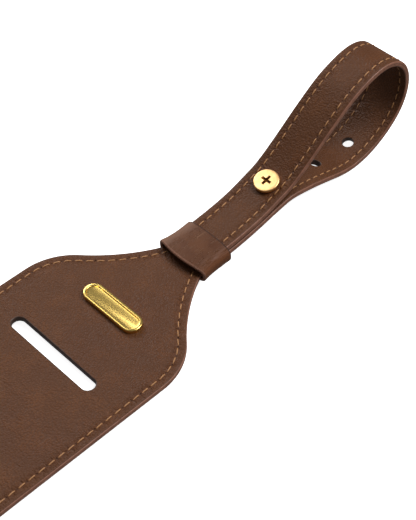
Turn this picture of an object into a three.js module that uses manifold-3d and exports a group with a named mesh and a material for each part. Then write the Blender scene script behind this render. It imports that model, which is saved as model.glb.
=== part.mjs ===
// Leather luggage tag: a sewn two-layer panel with a window pocket on its back, a strap that loops round
// and returns under a sliding keeper, and a two-part screw that clamps both strands of the strap.
// Millimetres, +Z up. The tag lies flat: +X runs along it towards the strap's loop, and the front faces +Z.
// Inside the assembly group, x = 0 is where the strap begins to lift off the panel's plane.
import * as THREE from 'three';
import { mergeVertices } from 'three/addons/utils/BufferGeometryUtils.js';
import Module from 'manifold-3d';

const wasm = await Module();
wasm.setup();

// Leather
const LAYER = 1.05; // one layer with its half of the glue line
const GLUE = 0.05; // glue line between the two layers
const PANEL_BACK_Z = 1.8; // height of the panel's back face above the surface that the tag lies on
const MID_Z = PANEL_BACK_Z + LAYER; // glue line of the panel
const FRONT_Z = PANEL_BACK_Z + 2 * LAYER; // front face of the panel

// Panel outline, seen from the front
const PANEL_WIDTH = 64;
const PANEL_END_X = -156;
const CORNER_R = 9;
const SHOULDER_R = 22; // convex arc at the top of each side
const SHOULDER_ANGLE = 48; // steepest slope of the shoulder, degrees
const NECK_R = 13; // concave arc that runs out into the strap
const NECK_ANGLE = 27; // slope where the neck arc begins, degrees
const STRAP_WIDTH = 16;
const OUTLINE_STEPS = 36; // along the shoulder and the neck

// Slot across the panel
const SLOT_X = -57.5;
const SLOT_LENGTH = 36.5;
const SLOT_WIDTH = 4.6;

// Bending line of the neck
const HINGE_X = -10;
const HINGE_GAP = 0.3;

// Strap at rest: its middle surface as stations of x, z and heading in degrees
const LIFT_R = 130; // radius of the gentle lift out of the panel's plane
const LIFT_END_X = 28;
const STRAND_GAP = 0.25; // between the two strands where they lie together
const TOGETHER_X = 22; // the strands lie together up to here
const TIP_X = -1.5;
const LOOP_STATIONS = [
  [36.1, 7.35, 10], // screw, back strand
  [46, 6.7, -10],
  [60, 3.4, -17],
  [71, 1.35, 0], // lowest point
  [86, 6.2, 34],
  [95, 17.5, 72],
  [91.8, 33.4, 134],
  [82, 37.7, 178], // highest point
  [70, 34.9, 202],
  [58, 27.3, 217],
  [46, 17.8, 217],
  [35, 11.1, 199], // screw, front strand
];
const SCREW_BACK_STATION = LOOP_STATIONS[0];
const SCREW_FRONT_STATION = LOOP_STATIONS[LOOP_STATIONS.length - 1];
const STEPS_PER_SPAN = 6;

// Adjusting holes in the back strand, by the x of their centres
const HOLE_R = 2;
const ADJUSTING_HOLES_X = [59.4, 77.3];

// Stitching
const STITCH_MARGIN = 2.7; // from the leather's edge to the thread's middle
const THREAD_WIDTH = 0.6;
const THREAD_LIFT = 0.02; // clearance under the thread
const THREAD_HEIGHT = 0.1;

// Screw and post
const SCREW_HEAD_R = 4.4;
const SCREW_HEAD_T = 1.2;
const SCREW_EDGE_R = 0.45;
const SHANK_R = 1.05;
const POST_R = 1.65;
const POST_BORE_R = 1.35;
const HEAD_SEAT = 1.75; // from the front strand's middle surface to the head's underside
const FLANGE_SEAT = 2.2; // from the back strand's middle surface to the flange's inner face
const RECESS_SPAN = 3.8;
const RECESS_WIDTH = 0.95;
const RECESS_DEPTH = 0.8;

// Keeper band
const KEEPER_X = [-4.4, 8.2];
const KEEPER_WALL = 1.1;
const KEEPER_HALF_WIDTH = [10.4, 9.7]; // outside, at the panel end and at the loop end
const KEEPER_CLEARANCE = 0.36; // above and below the strands
const KEEPER_CORNER_R = 1.7;
const KEEPER_SEAM = 0.3; // butt joint on the underside

// Emblem: a plain rounded plaque with a raised rim
const EMBLEM_X = -33.6;
const EMBLEM_LENGTH = 24;
const EMBLEM_WIDTH = 7;
const EMBLEM_HEIGHT = 1.5;
const EMBLEM_RIM = 1.1;
const EMBLEM_FIELD_DEPTH = 0.5;
const EMBLEM_PIN_R = 0.6;
const EMBLEM_PIN_Y = 8;
const EMBLEM_PLATE_T = 0.4;

// Stiffener and card pocket
const STIFFENER_T = 0.4;
const STIFFENER_X = [-151, -64];
const STIFFENER_HALF_WIDTH = 27.5;
const POCKET_X = [-153, -64];
const POCKET_HALF_WIDTH = 28.2;
const POCKET_RIM = 2.7;
const POCKET_SKIN = 1; // thickness of the frame round the window
const POCKET_CORNER_R = 5;
const WINDOW_BORDER = 8;
const THUMB_NOTCH_R = 7;
const FILM_T = 0.25;
const CARD_LENGTH = 80;
const CARD_WIDTH = 50;
const CARD_Z = [1.32, 1.62];
const CAVITY_CLEARANCE = 0.5;
const GROOVE_WIDTH = 1;
const GROOVE_DEPTH = 0.25;

const degrees = (angle) => THREE.MathUtils.degToRad(angle);

// ---- solids ----

function toManifold(geometry) {
  const bare = geometry.index ? geometry.toNonIndexed() : geometry.clone();
  bare.deleteAttribute('normal');
  bare.deleteAttribute('uv');
  const merged = mergeVertices(bare, 1e-4);
  const mesh = new wasm.Mesh({
    numProp: 3,
    vertProperties: new Float32Array(merged.attributes.position.array),
    triVerts: new Uint32Array(merged.index.array),
  });
  return new wasm.Manifold(mesh);
}

function toGeometry(manifold) {
  const mesh = manifold.getMesh();
  const geometry = new THREE.BufferGeometry();
  geometry.setAttribute('position', new THREE.BufferAttribute(new Float32Array(mesh.vertProperties), 3));
  geometry.setIndex(new THREE.BufferAttribute(new Uint32Array(mesh.triVerts), 1));
  geometry.computeVertexNormals();
  return geometry;
}

// A plan outline (x, y) made solid between two heights.
function plate(shape, z0, z1, curveSegments = 6) {
  const geometry = new THREE.ExtrudeGeometry(shape, { depth: z1 - z0, bevelEnabled: false, curveSegments });
  return toManifold(geometry.translate(0, 0, z0));
}

// A side profile (x, z) made solid across the tag's width, from y0 to y1.
function acrossWidth(shape, y0, y1) {
  const geometry = new THREE.ExtrudeGeometry(shape, { depth: y1 - y0, bevelEnabled: false });
  return toManifold(geometry.rotateX(Math.PI / 2).translate(0, y1, 0));
}

function roundedRectangle(x0, x1, halfWidth, radius) {
  const shape = new THREE.Shape();
  shape.moveTo(x0 + radius, -halfWidth);
  shape.lineTo(x1 - radius, -halfWidth);
  shape.absarc(x1 - radius, -halfWidth + radius, radius, -Math.PI / 2, 0);
  shape.absarc(x1 - radius, halfWidth - radius, radius, 0, Math.PI / 2);
  shape.absarc(x0 + radius, halfWidth - radius, radius, Math.PI / 2, Math.PI);
  shape.absarc(x0 + radius, -halfWidth + radius, radius, Math.PI, 1.5 * Math.PI);
  return shape;
}

function rectangle(x0, x1, y0, y1) {
  const corners = [[x0, y0], [x1, y0], [x1, y1], [x0, y1]];
  return new THREE.Shape(corners.map(([x, y]) => new THREE.Vector2(x, y)));
}

// A bar with round ends along Y.
function stadium(x, length, width) {
  const radius = width / 2;
  const half = length / 2 - radius;
  const shape = new THREE.Shape();
  shape.absarc(x, half, radius, 0, Math.PI);
  shape.absarc(x, -half, radius, Math.PI, 2 * Math.PI);
  return shape;
}

// ---- panel outline ----

// Half width of the leather at x: the panel's straight side, the shoulder, the neck, then the strap.
const shoulderSin = Math.sin(degrees(SHOULDER_ANGLE));
const shoulderCos = Math.cos(degrees(SHOULDER_ANGLE));
const neckSin = Math.sin(degrees(NECK_ANGLE));
const neckCos = Math.cos(degrees(NECK_ANGLE));
const shoulderDrop = SHOULDER_R * (1 - shoulderCos);
const neckDrop = NECK_R * (1 - neckCos);
const flareDrop = (PANEL_WIDTH - STRAP_WIDTH) / 2 - shoulderDrop - neckDrop;
const FLARE_R = flareDrop / (neckCos - shoulderCos); // concave arc between the shoulder and the neck
const flareCentreY = STRAP_WIDTH / 2 + neckDrop + FLARE_R * neckCos;
const neckStartX = -NECK_R * neckSin;
const flareStartX = neckStartX - FLARE_R * (shoulderSin - neckSin);
const shoulderStartX = flareStartX - SHOULDER_R * shoulderSin;

function halfWidth(x) {
  if (x <= shoulderStartX) return PANEL_WIDTH / 2;
  if (x <= flareStartX) {
    return PANEL_WIDTH / 2 - SHOULDER_R + Math.sqrt(SHOULDER_R ** 2 - (x - shoulderStartX) ** 2);
  }
  if (x <= neckStartX) {
    const along = FLARE_R * neckSin + neckStartX - x;
    return flareCentreY - Math.sqrt(FLARE_R ** 2 - along ** 2);
  }
  if (x <= 0) return STRAP_WIDTH / 2 + NECK_R - Math.sqrt(NECK_R ** 2 - x ** 2);
  return STRAP_WIDTH / 2;
}

// Plan outline of the leather between two places, pulled in by an inset, as a closed shape.
function leatherOutline(x0, x1, inset) {
  const places = [x0];
  for (let i = 0; i <= OUTLINE_STEPS; i += 1) places.push(shoulderStartX * (1 - i / OUTLINE_STEPS));
  const side = places.concat(x1).filter((x) => x >= x0 && x <= x1).map((x) => {
    const slope = (halfWidth(x + 0.05) - halfWidth(x - 0.05)) / 0.1;
    return [x, halfWidth(x) - inset * Math.hypot(1, slope)];
  });
  const points = side.map(([x, y]) => new THREE.Vector2(x, -y));
  side.reverse().forEach(([x, y]) => points.push(new THREE.Vector2(x, y)));
  return new THREE.Shape(points);
}

// Panel outline with rounded far corners, cut off square at the neck.
function panelOutline(inset, neckX) {
  const start = PANEL_END_X + inset;
  const radius = CORNER_R - inset;
  const half = PANEL_WIDTH / 2 - inset;
  const body = plate(roundedRectangle(start, start + 60, half, radius), -100, 100);
  const rest = plate(leatherOutline(start + 40, neckX, inset), -100, 100);
  return body.add(rest);
}

function slab(z0, z1) {
  return plate(rectangle(-200, 200, -60, 60), z0, z1);
}

// ---- strap path ----

function stationPoint([x, z, heading]) {
  const angle = degrees(heading);
  return { x, z, tx: Math.cos(angle), tz: Math.sin(angle), angle };
}

// Smooth span between two stations, without its end point.
function span(from, to) {
  const chord = Math.hypot(to.x - from.x, to.z - from.z);
  const pull = chord * (1 + (to.angle - from.angle) ** 2 / 24);
  const points = [];
  for (let i = 0; i < STEPS_PER_SPAN; i += 1) {
    const u = i / STEPS_PER_SPAN;
    const a = 2 * u ** 3 - 3 * u ** 2 + 1;
    const b = u ** 3 - 2 * u ** 2 + u;
    const c = 3 * u ** 2 - 2 * u ** 3;
    const d = u ** 3 - u ** 2;
    points.push({
      x: a * from.x + b * pull * from.tx + c * to.x + d * pull * to.tx,
      z: a * from.z + b * pull * from.tz + c * to.z + d * pull * to.tz,
    });
  }
  return points;
}

// Point of the lifting arc, offset upwards for the front strand.
function lifted(x, offset) {
  if (x <= 0) return { x, z: MID_Z + offset, angle: 0 };
  const angle = Math.asin(x / LIFT_R);
  const radius = LIFT_R - offset;
  return { x: radius * Math.sin(angle), z: MID_Z + LIFT_R - radius * Math.cos(angle), angle };
}

function strapPath() {
  const points = [];
  const lift = [];
  const strandOffset = 2 * LAYER + STRAND_GAP;
  for (let x = HINGE_X; x < LIFT_END_X; x += 2) points.push(lifted(x, 0));
  const liftEnd = lifted(LIFT_END_X, 0);
  const together = lifted(TOGETHER_X, strandOffset);
  const stations = [
    [liftEnd.x, liftEnd.z, THREE.MathUtils.radToDeg(liftEnd.angle)],
    ...LOOP_STATIONS,
    [together.x, together.z, 180 + THREE.MathUtils.radToDeg(together.angle)],
  ].map(stationPoint);
  for (let i = 1; i < stations.length; i += 1) points.push(...span(stations[i - 1], stations[i]));
  for (let x = TOGETHER_X; x > TIP_X; x -= 2) lift.push(lifted(x, strandOffset));
  lift.push(lifted(TIP_X, strandOffset));
  return points.concat(lift);
}

const path = strapPath();
const normals = path.map((point, i) => {
  const before = path[Math.max(i - 1, 0)];
  const after = path[Math.min(i + 1, path.length - 1)];
  const length = Math.hypot(after.x - before.x, after.z - before.z);
  return { x: (after.z - before.z) / length, z: -(after.x - before.x) / length };
});

// Side profile of a layer of the strap, between two distances from its middle surface, outwards positive.
function strapProfile(inner, outer, first = 0, last = path.length - 1) {
  const shape = [];
  for (let i = first; i <= last; i += 1) {
    shape.push(new THREE.Vector2(path[i].x + outer * normals[i].x, path[i].z + outer * normals[i].z));
  }
  for (let i = last; i >= first; i -= 1) {
    shape.push(new THREE.Vector2(path[i].x + inner * normals[i].x, path[i].z + inner * normals[i].z));
  }
  return new THREE.Shape(shape);
}

// ---- strap leather ----

const strapPlan = plate(leatherOutline(HINGE_X, 110, 0), -5, 45);

// Round rod along an axis that leans back from +Z by an angle, through a point of the tag's middle plane.
function leaningRod(radius, x, z, lean, length) {
  const rod = new THREE.CylinderGeometry(radius, radius, length, 28).rotateX(Math.PI / 2);
  return toManifold(rod.rotateY(-lean).translate(x, 0, z));
}

const screwBack = stationPoint(SCREW_BACK_STATION);
const screwFront = stationPoint(SCREW_FRONT_STATION);
const screwLean = Math.atan2(screwBack.x - screwFront.x, screwFront.z - screwBack.z);
const screwHoles = leaningRod(HOLE_R, screwBack.x, screwBack.z, screwLean, 24);

function adjustingHole(x) {
  const lowPath = path.filter((point, i) => normals[i].z < -0.3);
  const near = lowPath.reduce((a, b) => (Math.abs(b.x - x) < Math.abs(a.x - x) ? b : a));
  const normal = normals[path.indexOf(near)];
  return leaningRod(HOLE_R, near.x, near.z, Math.atan2(normal.x, -normal.z), 8);
}

const strapHoles = ADJUSTING_HOLES_X.map(adjustingHole).reduce((a, b) => a.add(b), screwHoles);

// Half-round start of the strap at the bending line, so that the strap can turn about it.
function hingeRound(above) {
  const radius = LAYER - GLUE / 2;
  const from = above ? 0 : Math.PI;
  const shape = new THREE.Shape();
  shape.absarc(HINGE_X, MID_Z, radius, from, from + Math.PI);
  const cut = above ? GLUE / 2 : -GLUE / 2;
  const solid = acrossWidth(shape, -halfWidth(HINGE_X) + 0.2, halfWidth(HINGE_X) - 0.2);
  return solid.intersect(above ? slab(MID_Z + cut, 60) : slab(-60, MID_Z + cut));
}

function strapLayer(inner, outer, above) {
  const sheet = acrossWidth(strapProfile(inner, outer), -15, 15).intersect(strapPlan);
  return sheet.add(hingeRound(above)).subtract(strapHoles);
}

// ---- strap threads: a row along each side, joined across the tip ----

const rowPlan = plate(leatherOutline(HINGE_X + 1, 110, STITCH_MARGIN - THREAD_WIDTH / 2), -5, 45)
  .subtract(plate(leatherOutline(HINGE_X - 1, 112, STITCH_MARGIN + THREAD_WIDTH / 2), -6, 46));

function strapThread(inner, outer) {
  const rows = acrossWidth(strapProfile(inner, outer, 1), -15, 15).intersect(rowPlan);
  const last = path.length - 1;
  const half = STRAP_WIDTH / 2 - STITCH_MARGIN;
  const bridge = acrossWidth(strapProfile(inner, outer, last - 1, last), -half, half);
  return rows.add(bridge.intersect(plate(rectangle(TIP_X, TIP_X + THREAD_WIDTH, -half, half), 0, 20)));
}

// ---- panel ----

const slotCut = plate(stadium(SLOT_X, SLOT_LENGTH, SLOT_WIDTH), -10, 20, 12);
const panelNeckX = HINGE_X - LAYER - HINGE_GAP;

function emblemPins(radius, z0, z1) {
  const pins = [-EMBLEM_PIN_Y, EMBLEM_PIN_Y].map((y) => {
    const pin = new THREE.CylinderGeometry(radius, radius, z1 - z0, 16).rotateX(Math.PI / 2);
    return toManifold(pin.translate(EMBLEM_X, y, (z0 + z1) / 2));
  });
  return pins[0].add(pins[1]);
}

const stiffenerOutline = roundedRectangle(...STIFFENER_X, STIFFENER_HALF_WIDTH, 5);
const plateOutline = stadium(EMBLEM_X, EMBLEM_LENGTH - 2, EMBLEM_WIDTH - 1.5);

function panelFront() {
  const sheet = panelOutline(0, panelNeckX).intersect(slab(MID_Z + GLUE / 2, FRONT_Z));
  return sheet.subtract(slotCut).subtract(emblemPins(EMBLEM_PIN_R + 0.3, 0, 10));
}

function panelBack() {
  const top = MID_Z - GLUE / 2;
  const sheet = panelOutline(0, panelNeckX).intersect(slab(PANEL_BACK_Z, top));
  const bedX = [STIFFENER_X[0] - 0.3, STIFFENER_X[1] + 0.3];
  const bedOutline = roundedRectangle(...bedX, STIFFENER_HALF_WIDTH + 0.3, 5.3);
  const bed = plate(bedOutline, top - STIFFENER_T, top + 1);
  const emblemBedOutline = stadium(EMBLEM_X, EMBLEM_LENGTH - 1.4, EMBLEM_WIDTH - 0.9);
  const emblemBed = plate(emblemBedOutline, top - EMBLEM_PLATE_T, top + 1);
  return sheet.subtract(slotCut).subtract(bed).subtract(emblemBed);
}

// Thread that follows the panel's edge and runs out at the neck on both sides.
function panelThread(z0, z1) {
  const outside = panelOutline(STITCH_MARGIN - THREAD_WIDTH / 2, panelNeckX - 0.4);
  const inside = panelOutline(STITCH_MARGIN + THREAD_WIDTH / 2, panelNeckX + 1);
  return outside.subtract(inside).intersect(slab(z0, z1));
}

// ---- emblem ----

function emblem() {
  const base = new THREE.ExtrudeGeometry(stadium(EMBLEM_X, EMBLEM_LENGTH - 0.6, EMBLEM_WIDTH - 0.6), {
    depth: EMBLEM_HEIGHT - 0.3,
    bevelThickness: 0.3,
    bevelSize: 0.3,
    bevelSegments: 2,
    curveSegments: 10,
  });
  const skirt = toManifold(base.translate(0, 0, FRONT_Z)).intersect(slab(FRONT_Z, 20));
  const top = FRONT_Z + EMBLEM_HEIGHT;
  const fieldOutline = stadium(EMBLEM_X, EMBLEM_LENGTH - 2 * EMBLEM_RIM, EMBLEM_WIDTH - 2 * EMBLEM_RIM);
  const field = plate(fieldOutline, top - EMBLEM_FIELD_DEPTH, top + 1);
  const pins = emblemPins(EMBLEM_PIN_R, MID_Z - GLUE / 2 - EMBLEM_PLATE_T, FRONT_Z + 0.5);
  return skirt.subtract(field).add(pins);
}

function emblemPlate() {
  const top = MID_Z - GLUE / 2;
  const sheet = plate(plateOutline, top - EMBLEM_PLATE_T, top);
  return sheet.subtract(emblemPins(EMBLEM_PIN_R + 0.3, 0, 10));
}

// ---- card pocket ----

const cavityHalfWidth = POCKET_HALF_WIDTH - POCKET_RIM;
const cavityX0 = POCKET_X[0] + POCKET_RIM;

function pocketFrame() {
  const sheet = plate(roundedRectangle(...POCKET_X, POCKET_HALF_WIDTH, POCKET_CORNER_R), 0, PANEL_BACK_Z);
  const cavity = plate(roundedRectangle(cavityX0, POCKET_X[1] + 10, cavityHalfWidth, 2), POCKET_SKIN, 10);
  const windowX = [cavityX0 + WINDOW_BORDER - POCKET_RIM, POCKET_X[1] - WINDOW_BORDER - 4];
  const windowHalfWidth = cavityHalfWidth - WINDOW_BORDER + POCKET_RIM;
  const windowCut = plate(roundedRectangle(...windowX, windowHalfWidth, 4), -1, 5);
  const notch = new THREE.Shape();
  notch.absarc(POCKET_X[1] + 1, 0, THUMB_NOTCH_R, 0, 2 * Math.PI);
  const open = sheet.subtract(cavity).subtract(windowCut).subtract(plate(notch, -1, 5));
  return open.subtract(pocketSeam(GROOVE_WIDTH));
}

// U-shaped seam round the pocket's three closed sides, open at its mouth.
function pocketSeam(width) {
  const line = POCKET_RIM / 2;
  const outside = roundedRectangle(POCKET_X[0] + line - width / 2, POCKET_X[1] + 20,
    POCKET_HALF_WIDTH - line + width / 2, POCKET_CORNER_R - line);
  const inside = roundedRectangle(POCKET_X[0] + line + width / 2, POCKET_X[1] + 21,
    POCKET_HALF_WIDTH - line - width / 2, POCKET_CORNER_R - line - width);
  const ring = plate(outside, -1, GROOVE_DEPTH).subtract(plate(inside, -2, 3));
  return ring.intersect(plate(rectangle(-200, POCKET_X[1] - 2, -60, 60), -2, 3));
}

function pocketThread() {
  const thread = pocketSeam(THREAD_WIDTH).intersect(slab(0.05, GROOVE_DEPTH));
  return thread.intersect(plate(rectangle(-200, POCKET_X[1] - 2.3, -60, 60), -2, 3));
}

// ---- keeper ----

const keeperSeamX = [KEEPER_X[0] + 2, KEEPER_X[1] - 2];

// Closed band with a slight taper, round the neck and the tucked tip, butted on its underside.
function keeperBand() {
  const low = PANEL_BACK_Z - KEEPER_CLEARANCE - KEEPER_WALL;
  const high = FRONT_Z + 2 * LAYER + STRAND_GAP + KEEPER_CLEARANCE + KEEPER_WALL;
  const height = high - low;
  const section = (shrink) => {
    const radius = KEEPER_CORNER_R - shrink;
    const half = KEEPER_HALF_WIDTH[1] - KEEPER_CORNER_R;
    const shape = new THREE.Shape();
    shape.absarc(half, KEEPER_CORNER_R, radius, -Math.PI / 2, 0);
    shape.absarc(half, height - KEEPER_CORNER_R, radius, 0, Math.PI / 2);
    shape.absarc(-half, height - KEEPER_CORNER_R, radius, Math.PI / 2, Math.PI);
    shape.absarc(-half, KEEPER_CORNER_R, radius, Math.PI, 1.5 * Math.PI);
    return shape;
  };
  const length = KEEPER_X[1] - KEEPER_X[0];
  const body = (shrink, extra) => {
    const geometry = new THREE.ExtrudeGeometry(section(shrink), {
      depth: length + 2 * extra,
      bevelEnabled: false,
      curveSegments: 5,
    });
    geometry.rotateX(Math.PI / 2).rotateZ(Math.PI / 2).translate(KEEPER_X[0] - extra, 0, low);
    const position = geometry.attributes.position;
    const taper = KEEPER_HALF_WIDTH[0] / KEEPER_HALF_WIDTH[1] - 1;
    for (let i = 0; i < position.count; i += 1) {
      const along = (KEEPER_X[1] - position.getX(i)) / length;
      position.setY(i, position.getY(i) * (1 + taper * along));
    }
    return toManifold(geometry);
  };
  const seamOutline = rectangle(KEEPER_X[0] - 1, KEEPER_X[1] + 1, -KEEPER_SEAM / 2, KEEPER_SEAM / 2);
  const seam = plate(seamOutline, -1, PANEL_BACK_Z);
  const bed = plate(rectangle(keeperSeamX[0] - 0.3, keeperSeamX[1] + 0.3, -1.8, 1.8), -1, low + 0.3);
  return body(0, 0).subtract(body(KEEPER_WALL, 1)).subtract(seam).subtract(bed);
}

// Wide flat stitch across the butt joint, sunk in the underside.
function keeperThread() {
  const low = PANEL_BACK_Z - KEEPER_CLEARANCE - KEEPER_WALL;
  return plate(rectangle(...keeperSeamX, -1.5, 1.5), low + 0.08, low + 0.28);
}

// ---- screw and post, each turned about its own +Z axis ----

function turned(profile) {
  const points = profile.map(([r, z]) => new THREE.Vector2(r, z));
  return toManifold(new THREE.LatheGeometry(points, 36).rotateX(Math.PI / 2));
}

const clampLength = Math.hypot(screwFront.x - screwBack.x, screwFront.z - screwBack.z);

// Head underside at z = 0, shank below it, cross recess in the top.
function screwSolid() {
  const edge = [];
  for (let i = 0; i <= 4; i += 1) {
    const angle = (i / 4) * (Math.PI / 2);
    edge.push([
      SCREW_HEAD_R - SCREW_EDGE_R * (1 - Math.cos(angle)),
      SCREW_HEAD_T - SCREW_EDGE_R * (1 - Math.sin(angle)),
    ]);
  }
  const shankEnd = -(clampLength + HEAD_SEAT + 0.9);
  const shank = [[0, shankEnd], [SHANK_R, shankEnd], [SHANK_R, 0], [SCREW_HEAD_R, 0]];
  const body = turned([...shank, ...edge, [0, SCREW_HEAD_T]]);
  const blade = new THREE.BoxGeometry(RECESS_SPAN, RECESS_WIDTH, 2 * RECESS_DEPTH);
  blade.translate(0, 0, SCREW_HEAD_T);
  return body.subtract(toManifold(blade)).subtract(toManifold(blade.rotateZ(Math.PI / 2)));
}

// Barrel with a flange on its rear end; the bore is open at both ends.
function postSolid() {
  const top = clampLength + HEAD_SEAT - 0.3;
  const flange = -FLANGE_SEAT;
  const rear = flange - 1;
  return turned([
    [POST_BORE_R, rear], [SCREW_HEAD_R - 0.4, rear], [SCREW_HEAD_R, rear + 0.4], [SCREW_HEAD_R, flange],
    [POST_R, flange], [POST_R, top], [POST_BORE_R, top], [POST_BORE_R, rear],
  ]);
}

// ---- assembly ----

const finishes = {
  leather: [0x5c4130, 0.55, 0],
  lining: [0x51392a, 0.6, 0],
  thread: [0xbe8c5f, 0.8, 0],
  board: [0x9a8f80, 0.9, 0],
  film: [0xe8eef0, 0.1, 0],
  card: [0xf4f0e6, 0.7, 0],
  brass: [0xd9a54a, 0.25, 1],
  steel: [0xb8b8b8, 0.4, 1],
};

const assembly = new THREE.Group();

function add(name, solid, finish) {
  const [color, roughness, metalness] = finishes[finish];
  const material = new THREE.MeshStandardMaterial({ color, roughness, metalness });
  const mesh = new THREE.Mesh(toGeometry(solid), material);
  mesh.name = name;
  assembly.add(mesh);
  return mesh;
}

const face = LAYER + THREAD_LIFT;
add('panel_front_leather', panelFront(), 'leather');
add('panel_back_leather', panelBack(), 'lining');
add('panel_stiffener', plate(stiffenerOutline, MID_Z - GLUE / 2 - STIFFENER_T, MID_Z - GLUE / 2), 'board');
add('panel_front_thread', panelThread(FRONT_Z + THREAD_LIFT, FRONT_Z + THREAD_LIFT + THREAD_HEIGHT), 'thread');
add('panel_back_thread',
  panelThread(PANEL_BACK_Z - THREAD_LIFT - THREAD_HEIGHT, PANEL_BACK_Z - THREAD_LIFT), 'thread');
add('emblem', emblem(), 'brass');
add('emblem_backing_plate', emblemPlate(), 'steel');
add('pocket_frame', pocketFrame(), 'lining');
add('pocket_thread', pocketThread(), 'thread');
const slipX0 = cavityX0 + CAVITY_CLEARANCE;
const filmOutline = roundedRectangle(slipX0, POCKET_X[1] - 4, cavityHalfWidth - CAVITY_CLEARANCE, 2);
const cardOutline = roundedRectangle(slipX0, slipX0 + CARD_LENGTH, CARD_WIDTH / 2, 3);
add('window_film', plate(filmOutline, POCKET_SKIN, POCKET_SKIN + FILM_T), 'film');
add('id_card', plate(cardOutline, ...CARD_Z), 'card');
add('strap_inner_leather', strapLayer(-LAYER, -GLUE / 2, true), 'leather');
add('strap_outer_leather', strapLayer(GLUE / 2, LAYER, false), 'lining');
add('strap_inner_thread', strapThread(-face - THREAD_HEIGHT, -face), 'thread');
add('strap_outer_thread', strapThread(face, face + THREAD_HEIGHT), 'thread');
add('keeper_band', keeperBand(), 'leather');
add('keeper_thread', keeperThread(), 'thread');

const clamp = new THREE.Group();
clamp.position.set(screwBack.x, 0, screwBack.z);
clamp.rotation.y = -screwLean;
assembly.add(clamp);
const screw = add('chicago_screw', screwSolid(), 'brass');
screw.position.z = clampLength + HEAD_SEAT;
clamp.add(screw);
clamp.add(add('chicago_post', postSolid(), 'brass'));

// The tag's origin is under the middle of its length and width, on the surface that it lies on.
const loopEnd = Math.max(...path.map((point, i) => point.x + LAYER * normals[i].x));
assembly.position.x = -(PANEL_END_X + loopEnd) / 2;

const tag = new THREE.Group();
tag.add(assembly);

export default tag;
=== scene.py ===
"""Looks of a leather luggage tag: leather, stitching, hardware, card pocket, floor, lights and camera.

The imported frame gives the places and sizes. Each leather layer and its stitches are modelled lying flat, and
are then bent along the strap's path.
"""

import math

import bmesh
import bpy
import numpy as np
from mathutils import Matrix, Vector, noise

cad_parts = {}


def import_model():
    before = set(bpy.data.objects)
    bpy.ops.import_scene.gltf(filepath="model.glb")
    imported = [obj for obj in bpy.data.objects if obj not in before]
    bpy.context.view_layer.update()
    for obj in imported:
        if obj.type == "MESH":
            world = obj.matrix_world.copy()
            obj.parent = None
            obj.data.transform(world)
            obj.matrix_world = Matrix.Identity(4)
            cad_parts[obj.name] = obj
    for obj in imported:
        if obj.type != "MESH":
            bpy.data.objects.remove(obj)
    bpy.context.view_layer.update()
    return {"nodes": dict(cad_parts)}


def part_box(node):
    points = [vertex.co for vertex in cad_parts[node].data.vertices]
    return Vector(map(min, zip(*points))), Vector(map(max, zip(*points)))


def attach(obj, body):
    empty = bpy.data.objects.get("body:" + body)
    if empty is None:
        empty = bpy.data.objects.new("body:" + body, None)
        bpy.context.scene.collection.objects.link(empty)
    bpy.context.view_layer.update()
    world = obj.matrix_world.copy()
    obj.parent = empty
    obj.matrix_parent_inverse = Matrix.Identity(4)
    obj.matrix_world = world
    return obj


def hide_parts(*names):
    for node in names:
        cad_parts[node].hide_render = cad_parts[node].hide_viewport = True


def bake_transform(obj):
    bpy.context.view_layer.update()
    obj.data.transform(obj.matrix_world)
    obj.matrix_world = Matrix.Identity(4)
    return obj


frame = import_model()
nodes = frame["nodes"]

# Lengths are in millimetres up to the point where a mesh is made. "Along" is the place on the leather laid
# out flat. It equals x on the panel, is 0 where the strap begins to lift, and follows the strap from there.
MM = 0.001
KEEPER_START = -4.4
LIFT_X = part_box("keeper_band")[0].x / MM - KEEPER_START  # where along = 0 lies in the frame
PANEL_BACK_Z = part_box("panel_back_leather")[0].z / MM
FRONT_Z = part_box("panel_front_leather")[1].z / MM
MID_Z = (PANEL_BACK_Z + FRONT_Z) / 2
LAYER = (FRONT_Z - PANEL_BACK_Z) / 2
PANEL_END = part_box("panel_front_leather")[0].x / MM - LIFT_X
PANEL_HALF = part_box("panel_front_leather")[1].y / MM
STRAP_HALF = 8.0
UV_UNIT = 100.0  # one unit of a UV layer
FLAT = "flat"  # UV layer: place on the leather laid out flat
SEAM_UV = "seam"  # UV layer: distance round the seam, and inwards from the edge

# Plan outline
CORNER_R = 9
SHOULDER_R = 22
SHOULDER_ANGLE = math.radians(48)
NECK_R = 13
NECK_ANGLE = math.radians(27)

# Strap path: x is measured from the lift, and heights are over the surface that the tag lies on
LIFT_R = 130
LIFT_CENTRE_Z = MID_Z + LIFT_R
LIFT_END = 28
STRAND_GAP = 0.25
TOGETHER_X = 22  # from here to its tip the front strand lies on the back one
TIP_X = -1.5
LOOP_SPREAD = 0.6  # each edge of the strap lies this much further out in the loop than in the CAD part
LOOP_SPREAD_ENDS = ((35, 60), (95, 125))  # places along the strap where it spreads and draws in again
LOOP_SHIFT = 0.25  # the loop leans this much to the left
LOOP_SHIFT_ENDS = (15, 50)  # places along the strap where the lean starts and is complete
LOOP_STATIONS = [  # x, height and heading in degrees
    (36.1, 7.35, 10), (46, 6.7, -10), (60, 3.4, -17), (71, 1.35, 0), (86, 6.2, 34), (95, 17.5, 72),
    (91.8, 33.4, 134), (82, 37.7, 178), (70, 34.9, 202), (58, 27.3, 217), (46, 17.8, 217), (35, 11.1, 199),
]
SCREW_BACK = LOOP_STATIONS[0][:2]
SCREW_FRONT = LOOP_STATIONS[-1][:2]

# Openings
ADJUSTING_HOLES_X = (59.4, 77.3)
ADJUSTING_HOLE_R = 2
SCREW_HOLE_R = 1.8
SLOT_X = -57.5
SLOT_LENGTH = 36.5
SLOT_WIDTH = 4.6

# Stitching
STITCH_MARGIN = 2.7
STITCH_PITCH = 3.5
THREAD_R = 0.2
SEAM_HEIGHT = 0.97  # height of the leather over the glue line where the seam pulls it down


# ---- strap path ----

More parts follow.
